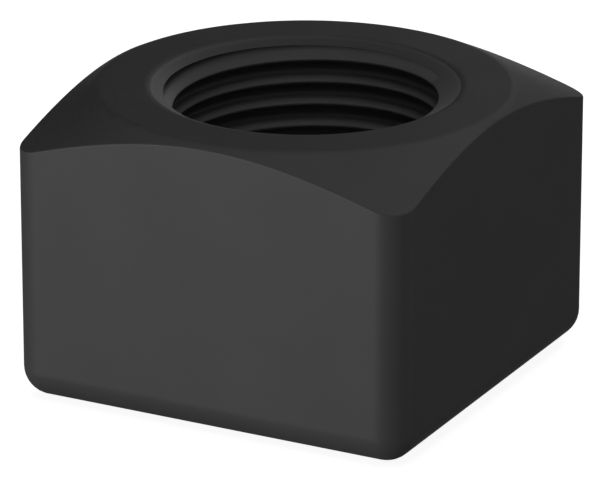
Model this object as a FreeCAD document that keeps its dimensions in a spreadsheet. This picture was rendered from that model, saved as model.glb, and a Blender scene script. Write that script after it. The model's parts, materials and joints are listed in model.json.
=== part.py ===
import FreeCAD, Part
import os
import Sketcher

# Square track nut, forged in one piece.
# The origin is the centre of the seat, the flat face that bears on the track link.
# +Z runs up the bore to the crowned top, and the flats face +X, +Y, -X and -Y.

NODE = "square_nut"

# Driving sizes in millimetres, and angles in degrees.
SIZES = [
    ("across_flats", 33.34, "width of the square from flat to opposite flat"),
    ("nut_height", 23.06, "from the seat to the flat ring on top"),
    ("edge_radius", 2.33, "rounding of the four upright edges and of the rim of the seat"),
    ("crown_inset", 0.63, "from a flat in to the circle where the crown starts to fall"),
    ("crown_angle", 25.0, "fall of the crown's cone below level"),
    ("bore_diameter", 20.48, "bore at the crests of the thread"),
    ("countersink_width", 1.76, "from the bore out to the rim of a countersink"),
    ("countersink_angle", 120.0, "included angle of the countersink at each mouth"),
]


def make_sheet(doc):
    """Put the driving sizes in a sheet, one row each, with the name as the alias."""
    sheet = doc.addObject("Spreadsheet::Sheet", "Sizes")
    for row, (alias, value, meaning) in enumerate(SIZES, start=1):
        sheet.set(f"A{row}", alias)
        sheet.set(f"B{row}", str(value))
        sheet.set(f"C{row}", meaning)
        sheet.setAlias(f"B{row}", alias)
    doc.recompute()
    return sheet


def sketch_on(body, role, name):
    """Start a sketch on one of the body's own origin planes."""
    plane = next(item for item in body.Origin.OriginFeatures if item.Role == role)
    sketch = body.newObject("Sketcher::SketchObject", name)
    sketch.AttachmentSupport = [(plane, "")]
    sketch.MapMode = "FlatFace"
    return sketch


def closed_outline(sketch, corners):
    """Draw straight lines round the corners and join their ends. Line n leaves corner n."""
    for index, corner in enumerate(corners):
        following = corners[(index + 1) % len(corners)]
        start = FreeCAD.Vector(corner[0], corner[1], 0)
        end = FreeCAD.Vector(following[0], following[1], 0)
        sketch.addGeometry(Part.LineSegment(start, end), False)
    for index in range(len(corners)):
        following = (index + 1) % len(corners)
        sketch.addConstraint(Sketcher.Constraint("Coincident", index, 2, following, 1))


def bind(sketch, name, expression, *constraint):
    """Add a named dimension to the sketch and tie it to the sheet."""
    index = sketch.addConstraint(Sketcher.Constraint(*constraint))
    sketch.renameConstraint(index, name)
    sketch.setExpression(f"Constraints.{name}", expression)


def square_bar(body, size):
    """Pad the square from the seat to the top."""
    half = size["across_flats"] / 2
    sketch = sketch_on(body, "XY_Plane", "square_outline")
    closed_outline(sketch, [(-half, -half), (half, -half), (half, half), (-half, half)])
    for line in (0, 2):
        sketch.addConstraint(Sketcher.Constraint("Horizontal", line))
    for line in (1, 3):
        sketch.addConstraint(Sketcher.Constraint("Vertical", line))
    sketch.addConstraint(Sketcher.Constraint("Symmetric", 0, 1, 1, 2, -1, 1))
    bind(sketch, "width", "Sizes.across_flats", "DistanceX", 0, 1, 0, 2, 2 * half)
    bind(sketch, "depth", "Sizes.across_flats", "DistanceY", 1, 1, 1, 2, 2 * half)
    pad = body.newObject("PartDesign::Pad", "square_bar")
    pad.Profile = sketch
    pad.setExpression("Length", "Sizes.nut_height")
    return pad


def rounded_edges(body, bar):
    """Round the four upright edges and the four edges of the seat, and leave the top sharp."""
    top = bar.Shape.BoundBox.ZMax
    names = []
    for index, edge in enumerate(bar.Shape.Edges, start=1):
        lowest = min(vertex.Point.z for vertex in edge.Vertexes)
        if lowest < top / 2:
            names.append(f"Edge{index}")
    fillet = body.newObject("PartDesign::Fillet", "rounded_edges")
    fillet.Base = (bar, names)
    fillet.setExpression("Radius", "Sizes.edge_radius")
    return fillet


def turned_cut(body, sketch, name):
    """Turn a half section once round the nut's upright axis and take it away."""
    groove = body.newObject("PartDesign::Groove", name)
    groove.Profile = sketch
    groove.ReferenceAxis = (sketch, ["V_Axis"])
    groove.Angle = 360
    return groove


def crown_cut(body, size):
    """Cone that takes down the corners of the top. It bites each flat in a shallow curve."""
    start = size["across_flats"] / 2 - size["crown_inset"]
    reach = size["across_flats"]
    top = size["nut_height"]
    sketch = sketch_on(body, "XZ_Plane", "crown_section")
    closed_outline(sketch, [(start, top), (reach, top), (reach, top / 2)])
    sketch.addConstraint(Sketcher.Constraint("Horizontal", 0))
    sketch.addConstraint(Sketcher.Constraint("Vertical", 1))
    bind(sketch, "top", "Sizes.nut_height", "DistanceY", -1, 1, 0, 1, top)
    bind(sketch, "start", "Sizes.across_flats / 2 - Sizes.crown_inset",
         "DistanceX", -1, 1, 0, 1, start)
    bind(sketch, "reach", "Sizes.across_flats", "DistanceX", -1, 1, 0, 2, reach)
    bind(sketch, "fall", "180 deg - Sizes.crown_angle * 1 deg", "Angle", 2, 2.7)
    return turned_cut(body, sketch, "crown")


def bore_cut(body, size):
    """Bore and both countersinks in one turned section, from the seat to the top."""
    bore = size["bore_diameter"] / 2
    rim = bore + size["countersink_width"]
    sink = size["countersink_width"]
    top = size["nut_height"]
    sketch = sketch_on(body, "XZ_Plane", "bore_section")
    closed_outline(sketch, [(0, 0), (rim, 0), (bore, sink), (bore, top - sink), (rim, top), (0, top)])
    sketch.addConstraint(Sketcher.Constraint("Coincident", 0, 1, -1, 1))
    for line in (0, 4):
        sketch.addConstraint(Sketcher.Constraint("Horizontal", line))
    for line in (2, 5):
        sketch.addConstraint(Sketcher.Constraint("Vertical", line))
    sketch.addConstraint(Sketcher.Constraint("Equal", 0, 4))
    bind(sketch, "top", "Sizes.nut_height", "DistanceY", -1, 1, 4, 2, top)
    bind(sketch, "bore", "Sizes.bore_diameter / 2", "DistanceX", -1, 1, 2, 1, bore)
    bind(sketch, "rim", "Sizes.bore_diameter / 2 + Sizes.countersink_width",
         "DistanceX", -1, 1, 0, 2, rim)
    bind(sketch, "lower_mouth", "90 deg + Sizes.countersink_angle * 1 deg / 2", "Angle", 1, 2.6)
    bind(sketch, "upper_mouth", "90 deg - Sizes.countersink_angle * 1 deg / 2", "Angle", 3, 0.5)
    return turned_cut(body, sketch, "bore")


def check_features(doc):
    """Stop if anything in the document failed to build."""
    for item in doc.Objects:
        if "Invalid" in item.State or "Error" in item.State:
            raise RuntimeError(f"{item.Name} failed to build: {item.State}")


def check_cuts(features):
    """Stop unless each feature after the first takes something off the one before."""
    for before, after in zip(features, features[1:]):
        if after.Shape.Volume >= before.Shape.Volume:
            raise RuntimeError(f"{after.Name} takes nothing off {before.Name}")


def build_nut(doc):
    """Model the nut as one body and return it."""
    size = {alias: value for alias, value, meaning in SIZES}
    body = doc.addObject("PartDesign::Body", NODE)
    body.Label = NODE
    bar = square_bar(body, size)
    doc.recompute()
    edges = rounded_edges(body, bar)
    doc.recompute()
    crown = crown_cut(body, size)
    doc.recompute()
    bore = bore_cut(body, size)
    body.Tip = bore
    doc.recompute()
    check_features(doc)
    check_cuts([bar, edges, crown, bore])
    return body


def main():
    doc = FreeCAD.newDocument("track_nut")
    make_sheet(doc)
    nut = build_nut(doc)
    shape = nut.Shape
    if shape.isNull() or not shape.isValid() or len(shape.Solids) != 1:
        raise RuntimeError(f"{nut.Label} is not one valid solid")
    os.makedirs("parts", exist_ok=True)
    shape.exportStep(f"parts/{nut.Label}.step")
    box = shape.BoundBox
    print(f"{nut.Label}: {shape.Volume:.1f} mm3, {len(shape.Faces)} faces, "
          f"{box.XLength:.3f} x {box.YLength:.3f} x {box.ZLength:.3f} mm")


main()
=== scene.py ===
import json
import math
from collections import namedtuple

import bmesh
import bpy
from mathutils import Matrix, Vector


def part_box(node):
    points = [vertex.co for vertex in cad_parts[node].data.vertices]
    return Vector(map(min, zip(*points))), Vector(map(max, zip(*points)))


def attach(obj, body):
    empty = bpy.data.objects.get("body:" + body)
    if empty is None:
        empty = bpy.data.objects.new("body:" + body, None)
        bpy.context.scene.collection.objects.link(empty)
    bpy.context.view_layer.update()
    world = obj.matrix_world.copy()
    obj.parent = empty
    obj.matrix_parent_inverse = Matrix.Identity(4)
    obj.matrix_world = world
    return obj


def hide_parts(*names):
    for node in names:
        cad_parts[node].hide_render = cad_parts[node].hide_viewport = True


bl_info = {
    "name": "Track Nut",
    "version": (1, 0, 0),
    "blender": (4, 5, 0),
    "location": "View3D > Sidebar > Track Nut",
    "description": "Builds a square track nut with a coned crown and a threaded bore",
    "category": "Add Mesh",
}

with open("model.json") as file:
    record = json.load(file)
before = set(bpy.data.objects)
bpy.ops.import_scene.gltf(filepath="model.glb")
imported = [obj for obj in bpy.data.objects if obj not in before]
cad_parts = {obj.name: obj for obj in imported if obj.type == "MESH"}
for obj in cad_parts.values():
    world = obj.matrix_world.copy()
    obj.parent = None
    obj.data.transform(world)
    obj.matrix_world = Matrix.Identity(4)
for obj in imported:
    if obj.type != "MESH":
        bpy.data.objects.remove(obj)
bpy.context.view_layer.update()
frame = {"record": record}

NODE = "square_nut"
BODY = "root"
SLOT = "black_steel"

MM = 0.001
INCH = 0.0254

NUT_LOW, NUT_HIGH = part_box(NODE)
BORE = next(mount["dims"] for mount in frame["record"]["mounts"] if mount["name"] == "thread")
OXIDE = next(entry["base_color"] for entry in frame["record"]["materials"] if entry["slot"] == SLOT)

# How finely the nut's surface is divided.
FLAT_STEPS = 40
CORNER_STEPS = 12
SEAT_RING_STEPS = 3
SEAT_EDGE_STEPS = 10
WALL_STEPS = 6
ARRIS_STEPS = 5
CROWN_STEPS = 14
TOP_RING_STEPS = 3
RIM_STEPS = 5
CREST_STEPS = 2
ROOT_STEPS = 5

# How strongly the rows on the crown crowd towards its circle; 1 would space them evenly.
CROWN_CROWDING = 1.6

# Quarters of the nut's outline, each with one flat and one rounded corner.
QUARTERS = 4

# Pitches of thread laid out past the bore, because the helix moves a row by up to one pitch.
SPARE_PITCHES = 2

# Points closer than the first are one, edges that turn by more than the second are sharp, and a
# face nearer to a countersink's cone than the third lies on it.
WELD_DISTANCE = 0.002 * MM
SHARP_ANGLE = math.radians(35)
CONE_TOLERANCE = 0.02 * MM

# Order of the finishes on the nut.
FORGED, TURNED, SUNK, THREADED = range(4)

# Steps of the soft break round a mouth, from its outer edge in, that have the turned finish.
RIM_TURNED_STEPS = 3

# Detail of the noises in the finish.
GRAIN_DETAIL = 3.0
CLOUD_DETAIL = 2.0
MARK_DETAIL = 2.0

Column = namedtuple("Column", "foot facing angle")
Surface = namedtuple("Surface", "name lightness steel roughness tool_marks")
Lamp = namedtuple("Lamp", "name azimuth elevation level width height")


def length(name, description, default):
    """A size in metres, shown in the scene's units."""
    return bpy.props.FloatProperty(
        name=name, description=description, default=default, min=0.0, precision=5, unit="LENGTH"
    )


def angle(name, description, degrees):
    """An angle, given in degrees and kept in radians."""
    return bpy.props.FloatProperty(
        name=name, description=description, default=math.radians(degrees), subtype="ANGLE"
    )


def share(name, description, default):
    """A plain number from 0 to 1."""
    return bpy.props.FloatProperty(
        name=name, description=description, default=default, min=0.0, max=1.0, subtype="FACTOR"
    )


def lightness(name, description, default):
    """How much lighter (painted light) or darker (painted shade) a surface is painted beside the forged
    skin.
    """
    return bpy.props.FloatProperty(name=name, description=description, default=default, min=0.0)


class NutSizes(bpy.types.PropertyGroup):
    """Sizes of the nut. Those that the frame knows come from it."""

    across_flats: length(
        "Across Flats", "Width from a wrench flat to the opposite one", NUT_HIGH.x - NUT_LOW.x
    )
    height: length("Height", "From the seat to the flat ring on top", NUT_HIGH.z - NUT_LOW.z)
    edge_radius: length(
        "Edge Radius", "Rounding of the upright edges and of the rim of the seat", 2.33 * MM
    )
    arris: length("Arris", "Reach of the soft break where the crown meets a flat", 0.08 * MM)
    crown_inset: length(
        "Crown Inset", "From a flat in to the circle where the crown starts to fall", 0.63 * MM
    )
    crown_angle: angle("Crown Angle", "Fall of the crown's cone below level", 25)
    crown_blend: length("Crown Blend", "Reach of the blend on each side of that circle", 0.3 * MM)
    crest_radius: length("Crest Radius", "Bore radius at the crests of the thread", BORE["r_mm"] * MM)
    mouth_depth: length(
        "Mouth Depth",
        "Depth of the countersink at each mouth of the bore",
        (NUT_HIGH.z - NUT_LOW.z - BORE["length_mm"] * MM) / 2,
    )
    mouth_angle: angle("Mouth Angle", "Included angle of each countersink", 120)
    rim_blend: length("Rim Blend", "Reach of the soft break round each mouth", 0.45 * MM)
    thread_radius: length("Thread Radius", "Nominal radius of the thread", 7 / 8 * INCH / 2)
    pitch: length("Pitch", "Rise of the thread in one turn", INCH / 14)
    flank_angle: angle("Flank Angle", "Included angle of the groove's flanks", 60)
    crest_width: length("Crest Width", "Flat left on each crest of the thread", 0.15 * MM)
    crest_blend: length("Crest Blend", "Reach of the rounding at the edges of a crest", 0.05 * MM)
    root_blend: length("Root Blend", "Reach of the rounding at the foot of each flank", 0.32 * MM)
    thread_start: angle(
        "Thread Start", "Where the lower edge of a crest would leave the level of the top", 172
    )
    left_hand: bpy.props.BoolProperty(
        name="Left Hand", description="Cut the thread with a left-hand helix", default=True
    )


class NutFinish(bpy.types.PropertyGroup):
    """Black oxide finish of the nut, with painted shade on the turned top and painted light in the
    countersinks and on the thread.
    """

    oxide_colour: bpy.props.FloatVectorProperty(
        name="Oxide Colour",
        description="Colour of the black oxide",
        default=OXIDE,
        size=3,
        min=0.0,
        max=1.0,
        subtype="COLOR",
    )
    reflection: share("Reflection", "Specular level of the dry oxide", 0.0)
    steel_share: share("Steel Share", "How far the steel gleams through the thin oxide", 0.3)
    turned_steel_share: share("Turned Steel Share", "The same on the turned top", 1.0)
    cut_steel_share: share("Cut Steel Share", "The same on the countersinks and the thread", 0.1)
    steel_edge: share("Steel Edge", "Strength of that gleam at a glancing angle", 0.36)
    forged_roughness: share("Forged Roughness", "Roughness of the forged skin", 0.50)
    turned_roughness: share("Turned Roughness", "Roughness of the turned faces", 0.50)
    thread_roughness: share("Thread Roughness", "Roughness of the cut thread", 0.50)
    # Painted shade: the oxide on the turned top is darkened below the forged skin's, so the crown's cone
    # renders darker than its lamps make it.
    turned_painted_shade: lightness("Turned Painted Shade", "Painted shade on the oxide of the turned top", 0.75)
    # Painted light: the oxide in the countersinks and on the thread is lightened well above the forged
    # skin's, to lift the shade inside the bore.
    sunk_painted_light: lightness("Sunk Painted Light", "Painted light on the oxide of the countersinks", 2.1)
    thread_painted_light: lightness("Thread Painted Light", "Painted light on the oxide of the thread", 2.8)
    grain_size: length("Grain Size", "Width of a grain of the oxide", 0.3 * MM)
    grain_depth: length("Grain Depth", "Depth of the grain", 0.003 * MM)
    cloud_size: length("Cloud Size", "Width of the faint clouds in the oxide", 6.25 * MM)
    mottle: share("Mottle", "How much the oxide lightens or darkens from place to place", 0.12)
    roughness_spread: share("Roughness Spread", "How much the grain varies the roughness", 0.08)
    tool_feed: length("Tool Feed", "Spacing of the turning marks", 0.16 * MM)
    tool_mark_share: share("Tool Mark Share", "Turning marks' share of a machined surface's relief", 0.4)


class StudioSettings(bpy.types.PropertyGroup):
    """Camera, floor and light."""

    camera_azimuth: angle("Camera Azimuth", "Turn of the camera round the nut from -Y towards +X", 27.59)
    camera_elevation: angle("Camera Elevation", "Height of the camera above the horizon", 20.10)
    camera_distance: length("Camera Distance", "From the camera to the point that it aims at", 0.4034)
    camera_lens: bpy.props.FloatProperty(
        name="Lens", description="Focal length in millimetres", default=310.8, min=1.0
    )
    aim_right: bpy.props.FloatProperty(
        name="Aim Right",
        description="From the nut's centre to the aim, to the right in the picture",
        default=-0.308 * MM,
        precision=5,
        unit="LENGTH",
    )
    aim_up: bpy.props.FloatProperty(
        name="Aim Up",
        description="From the nut's centre to the aim, upwards in the picture",
        default=-1.19 * MM,
        precision=5,
        unit="LENGTH",
    )
    floor_width: length("Floor Width", "Width of the square floor", 8.0)
    floor_drop: length("Floor Drop", "Gap that keeps the floor off the seat", 0.02 * MM)
    floor_dim: share("Floor Dim", "Lightness of the floor to the nut above it", 0.15)
    floor_pale: share("Floor Pale", "Lightness of the floor in the picture, before its glow", 0.5)
    floor_glow: share("Floor Glow", "Glow that brings the floor to white in the picture", 0.92)
    lamp_distance: length("Lamp Distance", "From the nut's centre to each lamp", 0.9)
    ambient: share("Ambient", "Grey light from all round", 0.03)


# Azimuth and elevation are in degrees, as the camera's, and width and height in metres. A level of 1
# renders a matt surface that faces the lamp in its own colour.
LAMPS = (
    Lamp("key_lamp", -28, 0, 0.80, 0.30, 0.023),
    Lamp("right_lamp", 112, 0, 0.14, 0.35, 0.023),
    Lamp("back_lamp", 193, 20, 0.54, 0.35, 0.35),
    Lamp("high_back_lamp", 178, 45, 0.08, 0.35, 0.35),
    Lamp("front_top_lamp", 28, 70, 0.14, 0.40, 0.40),
)


def outward(azimuth, elevation):
    """Unit vector from the nut towards a camera or lamp at these angles."""
    return Vector((
        math.sin(azimuth) * math.cos(elevation),
        -math.cos(azimuth) * math.cos(elevation),
        math.sin(elevation),
    ))


def bend(start, corner, end, steps):
    """Points of a smooth turn from start to end that leans towards the corner."""
    shares = [step / steps for step in range(steps + 1)]
    return [start.lerp(corner, part).lerp(corner.lerp(end, part), part) for part in shares]


def outline_columns(sizes):
    """Places round the nut where a section is drawn: four flats, each followed by a rounded corner.

    The last column repeats the first one after a full turn, and is welded to it."""
    half = sizes.across_flats / 2
    centre = half - sizes.edge_radius
    flat_end = math.atan2(centre, half)
    quarter = []
    for step in range(FLAT_STEPS + 1):
        polar = flat_end * (2 * step / FLAT_STEPS - 1)
        quarter.append((Vector((half, half * math.tan(polar))), Vector((1.0, 0.0))))
    for step in range(1, CORNER_STEPS):
        turn = math.pi / 2 * step / CORNER_STEPS
        facing = Vector((math.cos(turn), math.sin(turn)))
        quarter.append((Vector((centre, centre)) + sizes.edge_radius * facing, facing))
    columns = []
    for number in range(QUARTERS + 1):
        turn = number * math.pi / 2
        spin = Matrix.Rotation(turn, 2)
        for foot, facing in quarter if number < QUARTERS else quarter[:1]:
            columns.append(Column(spin @ foot, spin @ facing, turn + math.atan2(foot.y, foot.x)))
    return columns


def at_angle(polar, radius, z):
    """Point at a radius and height on a column's polar angle."""
    return Vector((radius * math.cos(polar), radius * math.sin(polar), z))


def crown_height(sizes, radius):
    """Height of the turned top: a flat ring, a soft blend and the cone."""
    circle = sizes.across_flats / 2 - sizes.crown_inset
    fall = math.tan(sizes.crown_angle)
    past = radius - circle
    if past <= -sizes.crown_blend:
        return sizes.height
    if past >= sizes.crown_blend:
        return sizes.height - fall * past
    return sizes.height - fall * (past + sizes.crown_blend) ** 2 / (4 * sizes.crown_blend)


def mouth_radius(sizes):
    """Radius of the countersink's rim."""
    return sizes.crest_radius + sizes.mouth_depth * math.tan(sizes.mouth_angle / 2)


def rim_points(sizes, column, level, down):
    """Soft break from a flat ring at a level into the countersink; down is -1 at the seat."""
    rim = mouth_radius(sizes)
    slope = sizes.mouth_angle / 2
    drop = sizes.rim_blend * math.cos(slope)
    start = at_angle(column.angle, rim + sizes.rim_blend, level)
    corner = at_angle(column.angle, rim, level)
    end = at_angle(column.angle, rim - sizes.rim_blend * math.sin(slope), level - down * drop)
    return bend(start, corner, end, RIM_STEPS)


def seat_points(sizes, column):
    """From the lower mouth out over the seat and round its edge to the foot of the wall."""
    rim = rim_points(sizes, column, 0.0, -1)
    radius = sizes.edge_radius
    quarter = [math.pi / 2 * step / SEAT_EDGE_STEPS for step in range(SEAT_EDGE_STEPS + 1)]
    edge = []
    for turn in quarter:
        inset = radius * (1 - math.sin(turn))
        foot = column.foot - inset * column.facing
        edge.append(foot.to_3d() + Vector((0, 0, radius * (1 - math.cos(turn)))))
    ring = [rim[0].lerp(edge[0], step / SEAT_RING_STEPS) for step in range(1, SEAT_RING_STEPS)]
    return (
        [(SUNK, point) for point in rim[:RIM_TURNED_STEPS:-1]]
        + [(TURNED, point) for point in rim[RIM_TURNED_STEPS::-1] + ring]
        + [(FORGED, point) for point in edge]
    )


def crown_points(sizes, column):
    """Up the wall, over the soft arris, in over the crown and its blend to the upper mouth."""
    reach = column.foot.length
    lean = column.foot.normalized().dot(column.facing)
    stop = reach - sizes.arris / lean
    corner = at_angle(column.angle, reach, crown_height(sizes, reach))
    low = corner - Vector((0, 0, sizes.arris))
    base = Vector((corner.x, corner.y, sizes.edge_radius))
    wall = [base.lerp(low, step / WALL_STEPS) for step in range(1, WALL_STEPS)]
    high = at_angle(column.angle, stop, crown_height(sizes, stop))
    arris = bend(low, corner, high, ARRIS_STEPS)
    inner = sizes.across_flats / 2 - sizes.crown_inset - sizes.crown_blend
    cone = []
    for step in range(CROWN_STEPS - 1, -1, -1):
        radius = inner + (stop - inner) * (step / CROWN_STEPS) ** CROWN_CROWDING
        cone.append(at_angle(column.angle, radius, crown_height(sizes, radius)))
    rim = rim_points(sizes, column, sizes.height, 1)
    ring = [cone[-1].lerp(rim[0], step / TOP_RING_STEPS) for step in range(1, TOP_RING_STEPS)]
    return (
        [(FORGED, point) for point in wall + arris[:-1]]
        + [(TURNED, point) for point in arris[-1:] + cone + ring + rim[:RIM_TURNED_STEPS]]
        + [(SUNK, point) for point in rim[RIM_TURNED_STEPS:]]
    )


def thread_profile(sizes):
    """One pitch of the thread as (radius, drop) points, from the lower edge of a crest down."""
    depth = sizes.thread_radius - sizes.crest_radius
    flank = depth * math.tan(sizes.flank_angle / 2)
    foot = sizes.pitch - sizes.crest_width - flank
    corners = [
        (Vector((sizes.crest_radius, 0.0)), sizes.crest_blend, CREST_STEPS),
        (Vector((sizes.thread_radius, flank)), sizes.root_blend, ROOT_STEPS),
        (Vector((sizes.thread_radius, foot)), sizes.root_blend, ROOT_STEPS),
        (Vector((sizes.crest_radius, foot + flank)), sizes.crest_blend, CREST_STEPS),
    ]
    spots = [spot for spot, blend, steps in corners]
    before = [spots[-1] - Vector((0, sizes.pitch))] + spots[:-1]
    after = spots[1:] + [spots[0] + Vector((0, sizes.pitch))]
    points = []
    for (spot, blend, steps), previous, following in zip(corners, before, after):
        start = spot + blend * (previous - spot).normalized()
        end = spot + blend * (following - spot).normalized()
        points += bend(start, spot, end, steps)
    return points


def mouth_cone(sizes, z):
    """Radius of the nearer countersink at a height, less than the crests' away from the mouths."""
    depth = min(z, sizes.height - z)
    return sizes.crest_radius + (sizes.mouth_depth - depth) * math.tan(sizes.mouth_angle / 2)


def thread_rows(sizes):
    """Radius and height at the thread's start angle of each row of points down the bore."""
    profile = thread_profile(sizes)
    pitches = math.ceil(sizes.height / sizes.pitch) + SPARE_PITCHES
    rows = []
    for count in range(-1, pitches):
        for spot in profile:
            rows.append(Vector((spot.x, sizes.height - spot.y - count * sizes.pitch)))
    return rows


def bore_points(sizes, column, rows):
    """Down the thread from the upper mouth to the lower one.

    Where a flank runs out into a countersink, an extra point lies on the crease between them."""
    hand = -1 if sizes.left_hand else 1
    turns = (column.angle - sizes.thread_start) / (2 * math.pi)
    shift = Vector((0, hand * sizes.pitch * turns))
    margin = sizes.rim_blend * math.cos(sizes.mouth_angle / 2)
    points = []
    for spot, following in zip(rows, rows[1:]):
        here = spot + shift
        there = following + shift
        points.append(bore_point(sizes, column, here, margin))
        if near_mouth(sizes, spot):
            above = here.x - mouth_cone(sizes, here.y)
            below = there.x - mouth_cone(sizes, there.y)
            part = above / (above - below) if above * below < 0 else 1.0
            points.append(bore_point(sizes, column, here.lerp(there, part), margin))
    return [(THREADED, point) for point in points]


def near_mouth(sizes, spot):
    """Whether a row of the thread comes near a mouth anywhere on its turn."""
    reach = sizes.mouth_depth + SPARE_PITCHES * sizes.pitch
    return spot.y < reach or spot.y > sizes.height - reach


def bore_point(sizes, column, spot, margin):
    """The thread's point where it is cut, and the countersink's where that is wider."""
    z = min(max(spot.y, margin), sizes.height - margin)
    return at_angle(column.angle, max(spot.x, mouth_cone(sizes, z)), z)


def mark_countersinks(shape, sizes):
    """Give the countersinks' finish to the faces beside the thread that lie on their cones."""
    for face in shape.faces:
        if face.material_index == THREADED:
            centre = face.calc_center_median()
            cone = mouth_cone(sizes, centre.z)
            if abs(centre.xy.length - cone) < CONE_TOLERANCE and cone > sizes.crest_radius:
                face.material_index = SUNK


def nut_mesh(sizes):
    """Closed mesh of the nut, made of sections joined side by side."""
    rows = thread_rows(sizes)
    shape = bmesh.new()
    sections = []
    for column in outline_columns(sizes):
        section = seat_points(sizes, column) + crown_points(sizes, column)
        section += bore_points(sizes, column, rows)
        finishes = [finish for finish, point in section]
        sections.append([shape.verts.new(point) for finish, point in section])
    for left, right in zip(sections, sections[1:]):
        for index, finish in enumerate(finishes):
            following = (index + 1) % len(finishes)
            corners = (left[index], right[index], right[following], left[following])
            shape.faces.new(corners).material_index = finish
    bmesh.ops.remove_doubles(shape, verts=shape.verts, dist=WELD_DISTANCE)
    bmesh.ops.recalc_face_normals(shape, faces=shape.faces)
    mark_countersinks(shape, sizes)
    if any(len(edge.link_faces) != 2 for edge in shape.edges):
        raise RuntimeError("the nut's mesh is not closed")
    mesh = bpy.data.meshes.new("coned_square_nut")
    shape.to_mesh(mesh)
    shape.free()
    mesh.shade_smooth()
    mesh.set_sharp_from_angle(angle=SHARP_ANGLE)
    return mesh


def grey(level):
    """Opaque neutral colour."""
    return (level, level, level, 1.0)


def wire(tree, source, target):
    """Join an output to an input."""
    tree.links.new(source, target)


def set_input(tree, value, target):
    """Give an input its value, which is a socket or a plain number."""
    if isinstance(value, bpy.types.NodeSocket):
        wire(tree, value, target)
    else:
        target.default_value = value


def math_node(tree, operation, first, second):
    """Math node whose inputs are sockets or plain numbers."""
    node = tree.nodes.new("ShaderNodeMath")
    node.operation = operation
    set_input(tree, first, node.inputs[0])
    set_input(tree, second, node.inputs[1])
    return node.outputs["Value"]


def new_group(name, inputs, outputs):
    """Empty shader group with named sockets, each given as a name and a kind."""
    group = bpy.data.node_groups.new(name, "ShaderNodeTree")
    for title, kind in inputs:
        group.interface.new_socket(title, in_out="INPUT", socket_type=kind)
    for title, kind in outputs:
        group.interface.new_socket(title, in_out="OUTPUT", socket_type=kind)
    return group, group.nodes.new("NodeGroupInput"), group.nodes.new("NodeGroupOutput")


def noise(tree, position, scale, detail):
    """Noise texture at a position; its scale is a socket or a number."""
    node = tree.nodes.new("ShaderNodeTexNoise")
    wire(tree, position, node.inputs["Vector"])
    set_input(tree, scale, node.inputs["Scale"])
    node.inputs["Detail"].default_value = detail
    return node.outputs["Fac"]


def oxide_grain_group(finish):
    """Fine grain and faint clouding of the oxide: its colour, roughness and height."""
    group, given, made = new_group(
        "oxide_grain",
        (
            ("Colour", "NodeSocketColor"),
            ("Roughness", "NodeSocketFloat"),
            ("Grains per Metre", "NodeSocketFloat"),
        ),
        (
            ("Colour", "NodeSocketColor"),
            ("Roughness", "NodeSocketFloat"),
            ("Height", "NodeSocketFloat"),
        ),
    )
    position = group.nodes.new("ShaderNodeTexCoord").outputs["Object"]
    grain = noise(group, position, given.outputs["Grains per Metre"], GRAIN_DETAIL)
    clouds = noise(group, position, 1.0 / finish.cloud_size, CLOUD_DETAIL)
    mixed = math_node(group, "ADD", grain, clouds)
    # Each noise runs from 0 to 1, so the two together run to 2.
    tint = group.nodes.new("ShaderNodeMapRange")
    tint.inputs["From Max"].default_value = 2.0
    tint.inputs["To Min"].default_value = 1.0 - finish.mottle
    tint.inputs["To Max"].default_value = 1.0 + finish.mottle
    wire(group, mixed, tint.inputs["Value"])
    shade = group.nodes.new("ShaderNodeVectorMath")
    shade.operation = "SCALE"
    wire(group, given.outputs["Colour"], shade.inputs[0])
    wire(group, tint.outputs["Result"], shade.inputs["Scale"])
    wire(group, shade.outputs["Vector"], made.inputs["Colour"])
    spread = group.nodes.new("ShaderNodeMapRange")
    spread.inputs["To Min"].default_value = -finish.roughness_spread
    spread.inputs["To Max"].default_value = finish.roughness_spread
    wire(group, grain, spread.inputs["Value"])
    roughness = math_node(group, "ADD", given.outputs["Roughness"], spread.outputs["Result"])
    wire(group, roughness, made.inputs["Roughness"])
    wire(group, grain, made.inputs["Height"])
    return group


def turning_marks_group():
    """Rings round the bore's axis that a turning tool leaves, as a height from 0 to 1."""
    group, given, made = new_group(
        "turning_marks", (("Rings per Metre", "NodeSocketFloat"),), (("Height", "NodeSocketFloat"),)
    )
    position = group.nodes.new("ShaderNodeTexCoord").outputs["Object"]
    apart = group.nodes.new("ShaderNodeSeparateXYZ")
    wire(group, position, apart.inputs["Vector"])
    flat = group.nodes.new("ShaderNodeCombineXYZ")
    wire(group, apart.outputs["X"], flat.inputs["X"])
    wire(group, apart.outputs["Y"], flat.inputs["Y"])
    span = group.nodes.new("ShaderNodeVectorMath")
    span.operation = "LENGTH"
    wire(group, flat.outputs["Vector"], span.inputs[0])
    reach = math_node(group, "ADD", span.outputs["Value"], apart.outputs["Z"])
    rings = math_node(group, "MULTIPLY", reach, given.outputs["Rings per Metre"])
    ripple = group.nodes.new("ShaderNodeTexNoise")
    ripple.noise_dimensions = "1D"
    ripple.inputs["Scale"].default_value = 1.0
    ripple.inputs["Detail"].default_value = MARK_DETAIL
    wire(group, rings, ripple.inputs["W"])
    wire(group, ripple.outputs["Fac"], made.inputs["Height"])
    return group


def nut_surfaces(finish):
    """The nut's kinds of surface, in the order of the finishes.

    Steel is how far the metal shows through the oxide, and tool_marks their share of the relief."""
    turned = finish.turned_roughness
    cut = finish.cut_steel_share
    marks = finish.tool_mark_share
    return (
        # The turned top's lightness is painted shade, and the countersinks' and the thread's is painted
        # light.
        Surface("forged_oxide", 1.0, finish.steel_share, finish.forged_roughness, 0.0),
        Surface("turned_oxide", finish.turned_painted_shade, finish.turned_steel_share, turned, marks),
        Surface("sunk_oxide", finish.sunk_painted_light, cut, turned, marks),
        Surface("threaded_oxide", finish.thread_painted_light, cut, finish.thread_roughness, marks),
    )


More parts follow.
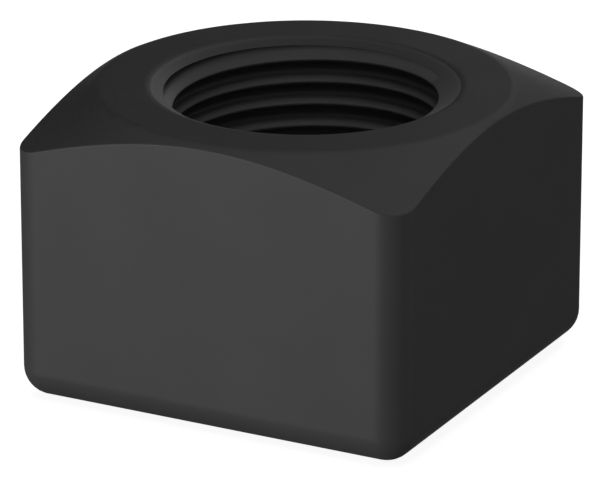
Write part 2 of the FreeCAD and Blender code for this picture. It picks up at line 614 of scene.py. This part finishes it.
def oxide_material(surface, finish, grain_group, marks_group):
    """Black oxide on one kind of surface."""
    # A lightness above 1 is painted light, and one below 1 painted shade, on this kind of surface.
    colour = (*[surface.lightness * channel for channel in finish.oxide_colour], 1.0)
    material = bpy.data.materials.new(surface.name)
    material.use_nodes = True
    material.diffuse_color = colour
    tree = material.node_tree
    shader = tree.nodes["Principled BSDF"]
    shader.inputs["Specular IOR Level"].default_value = finish.reflection
    shader.inputs["Metallic"].default_value = surface.steel
    shader.inputs["Specular Tint"].default_value = grey(finish.steel_edge)
    grain = tree.nodes.new("ShaderNodeGroup")
    grain.node_tree = grain_group
    grain.inputs["Colour"].default_value = colour
    grain.inputs["Roughness"].default_value = surface.roughness
    grain.inputs["Grains per Metre"].default_value = 1.0 / finish.grain_size
    wire(tree, grain.outputs["Colour"], shader.inputs["Base Color"])
    wire(tree, grain.outputs["Roughness"], shader.inputs["Roughness"])
    height = grain.outputs["Height"]
    if surface.tool_marks:
        marks = tree.nodes.new("ShaderNodeGroup")
        marks.node_tree = marks_group
        marks.inputs["Rings per Metre"].default_value = 1.0 / finish.tool_feed
        rings = math_node(tree, "MULTIPLY", marks.outputs["Height"], surface.tool_marks)
        rest = math_node(tree, "MULTIPLY", height, 1.0 - surface.tool_marks)
        height = math_node(tree, "ADD", rings, rest)
    relief = tree.nodes.new("ShaderNodeBump")
    relief.inputs["Distance"].default_value = finish.grain_depth
    wire(tree, height, relief.inputs["Height"])
    wire(tree, relief.outputs["Normal"], shader.inputs["Normal"])
    return material


def seen_directly(tree):
    """Socket that is 1 for rays from the camera, off gloss or through glass, and 0 for the others."""
    path = tree.nodes.new("ShaderNodeLightPath")
    either = math_node(
        tree, "MAXIMUM", path.outputs["Is Camera Ray"], path.outputs["Is Glossy Ray"]
    )
    return math_node(tree, "MAXIMUM", either, path.outputs["Is Transmission Ray"])


def floor_material(studio):
    """Pale floor that shows white round a faint shadow, and is dim and grey to the nut above it."""
    material = bpy.data.materials.new("pale_floor")
    material.use_nodes = True
    tree = material.node_tree
    tree.nodes.clear()
    dim = tree.nodes.new("ShaderNodeBsdfDiffuse")
    dim.inputs["Color"].default_value = grey(studio.floor_dim)
    pale = tree.nodes.new("ShaderNodeBsdfDiffuse")
    pale.inputs["Color"].default_value = grey(studio.floor_pale)
    glow = tree.nodes.new("ShaderNodeEmission")
    glow.inputs["Strength"].default_value = studio.floor_glow
    both = tree.nodes.new("ShaderNodeAddShader")
    wire(tree, pale.outputs["BSDF"], both.inputs[0])
    wire(tree, glow.outputs["Emission"], both.inputs[1])
    choice = tree.nodes.new("ShaderNodeMixShader")
    wire(tree, seen_directly(tree), choice.inputs["Fac"])
    wire(tree, dim.outputs["BSDF"], choice.inputs[1])
    wire(tree, both.outputs["Shader"], choice.inputs[2])
    under = tree.nodes.new("ShaderNodeMixShader")
    wire(tree, tree.nodes.new("ShaderNodeNewGeometry").outputs["Backfacing"], under.inputs["Fac"])
    wire(tree, choice.outputs["Shader"], under.inputs[1])
    wire(tree, tree.nodes.new("ShaderNodeBsdfTransparent").outputs["BSDF"], under.inputs[2])
    output = tree.nodes.new("ShaderNodeOutputMaterial")
    wire(tree, under.outputs["Shader"], output.inputs["Surface"])
    return material


def build_floor(studio):
    """Square floor just under the seat."""
    shape = bmesh.new()
    bmesh.ops.create_grid(shape, x_segments=1, y_segments=1, size=studio.floor_width / 2)
    mesh = bpy.data.meshes.new("floor")
    shape.to_mesh(mesh)
    shape.free()
    floor = bpy.data.objects.new("floor", mesh)
    floor.location.z = NUT_LOW.z - studio.floor_drop
    floor.data.materials.append(floor_material(studio))
    bpy.context.scene.collection.objects.link(floor)


def build_world(studio):
    """Grey light from all round behind a white backdrop."""
    world = bpy.data.worlds.new("studio")
    bpy.context.scene.world = world
    world.use_nodes = True
    tree = world.node_tree
    tree.nodes.clear()
    ambient = tree.nodes.new("ShaderNodeBackground")
    ambient.inputs["Color"].default_value = grey(1.0)
    ambient.inputs["Strength"].default_value = studio.ambient
    backdrop = tree.nodes.new("ShaderNodeBackground")
    backdrop.inputs["Color"].default_value = grey(1.0)
    choice = tree.nodes.new("ShaderNodeMixShader")
    wire(tree, seen_directly(tree), choice.inputs["Fac"])
    wire(tree, ambient.outputs["Background"], choice.inputs[1])
    wire(tree, backdrop.outputs["Background"], choice.inputs[2])
    output = tree.nodes.new("ShaderNodeOutputWorld")
    wire(tree, choice.outputs["Shader"], output.inputs["Surface"])


def build_lamp(lamp, studio, centre):
    """Soft lamp with a rectangular face that points at the nut's centre."""
    data = bpy.data.lights.new(lamp.name, "AREA")
    data.shape = "RECTANGLE"
    data.size = lamp.width
    data.size_y = lamp.height
    data.energy = lamp.level * (math.pi * studio.lamp_distance) ** 2
    towards = outward(math.radians(lamp.azimuth), math.radians(lamp.elevation))
    item = bpy.data.objects.new(lamp.name, data)
    item.location = centre + studio.lamp_distance * towards
    item.rotation_euler = towards.to_track_quat("Z", "Y").to_euler()
    item.visible_camera = False
    bpy.context.scene.collection.objects.link(item)


def build_camera(studio, centre):
    """Camera at the picture's viewing angle."""
    back = outward(studio.camera_azimuth, studio.camera_elevation)
    turn = back.to_track_quat("Z", "Y")
    aim = centre + turn @ Vector((studio.aim_right, studio.aim_up, 0.0))
    data = bpy.data.cameras.new("camera")
    data.sensor_fit = "HORIZONTAL"
    data.lens = studio.camera_lens
    camera = bpy.data.objects.new("camera", data)
    camera.location = aim + studio.camera_distance * back
    camera.rotation_euler = turn.to_euler()
    bpy.context.scene.collection.objects.link(camera)
    bpy.context.scene.camera = camera


class TRACKNUT_OT_nut(bpy.types.Operator):
    """Build the square nut with its thread and black oxide finish"""

    bl_idname = "track_nut.nut"
    bl_label = "Build Nut"
    bl_options = {"REGISTER", "UNDO"}

    def execute(self, context):
        sizes = context.scene.nut_sizes
        finish = context.scene.nut_finish
        nut = bpy.data.objects.new("coned_square_nut", nut_mesh(sizes))
        context.scene.collection.objects.link(nut)
        grain_group = oxide_grain_group(finish)
        marks_group = turning_marks_group()
        for surface in nut_surfaces(finish):
            nut.data.materials.append(oxide_material(surface, finish, grain_group, marks_group))
        normals = nut.modifiers.new("weighted_normals", "WEIGHTED_NORMAL")
        normals.keep_sharp = True
        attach(nut, BODY)
        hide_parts(NODE)
        return {"FINISHED"}


class TRACKNUT_OT_stage(bpy.types.Operator):
    """Set the nut on a pale floor with soft studio light and a camera"""

    bl_idname = "track_nut.stage"
    bl_label = "Build Stage"
    bl_options = {"REGISTER", "UNDO"}

    def execute(self, context):
        studio = context.scene.nut_studio
        centre = (NUT_LOW + NUT_HIGH) / 2
        build_floor(studio)
        build_world(studio)
        for lamp in LAMPS:
            build_lamp(lamp, studio, centre)
        build_camera(studio, centre)
        context.scene.view_settings.view_transform = "Standard"
        return {"FINISHED"}


class VIEW3D_PT_track_nut(bpy.types.Panel):
    """Sizes, finish and studio of the track nut"""

    bl_label = "Track Nut"
    bl_space_type = "VIEW_3D"
    bl_region_type = "UI"
    bl_category = "Track Nut"

    def draw(self, context):
        scene = context.scene
        self.layout.use_property_split = True
        for title, settings in (
            ("Sizes", scene.nut_sizes),
            ("Finish", scene.nut_finish),
            ("Studio", scene.nut_studio),
        ):
            box = self.layout.box()
            box.label(text=title)
            for name in settings.__annotations__:
                box.prop(settings, name)
        for operator in (TRACKNUT_OT_nut, TRACKNUT_OT_stage):
            self.layout.operator(operator.bl_idname)


CLASSES = (
    NutSizes,
    NutFinish,
    StudioSettings,
    TRACKNUT_OT_nut,
    TRACKNUT_OT_stage,
    VIEW3D_PT_track_nut,
)


def register():
    for item in CLASSES:
        bpy.utils.register_class(item)
    bpy.types.Scene.nut_sizes = bpy.props.PointerProperty(type=NutSizes)
    bpy.types.Scene.nut_finish = bpy.props.PointerProperty(type=NutFinish)
    bpy.types.Scene.nut_studio = bpy.props.PointerProperty(type=StudioSettings)


def unregister():
    del bpy.types.Scene.nut_studio
    del bpy.types.Scene.nut_finish
    del bpy.types.Scene.nut_sizes
    for item in reversed(CLASSES):
        bpy.utils.unregister_class(item)


def main():
    register()
    bpy.ops.track_nut.nut()
    bpy.ops.track_nut.stage()


if __name__ == "__main__":
    main()
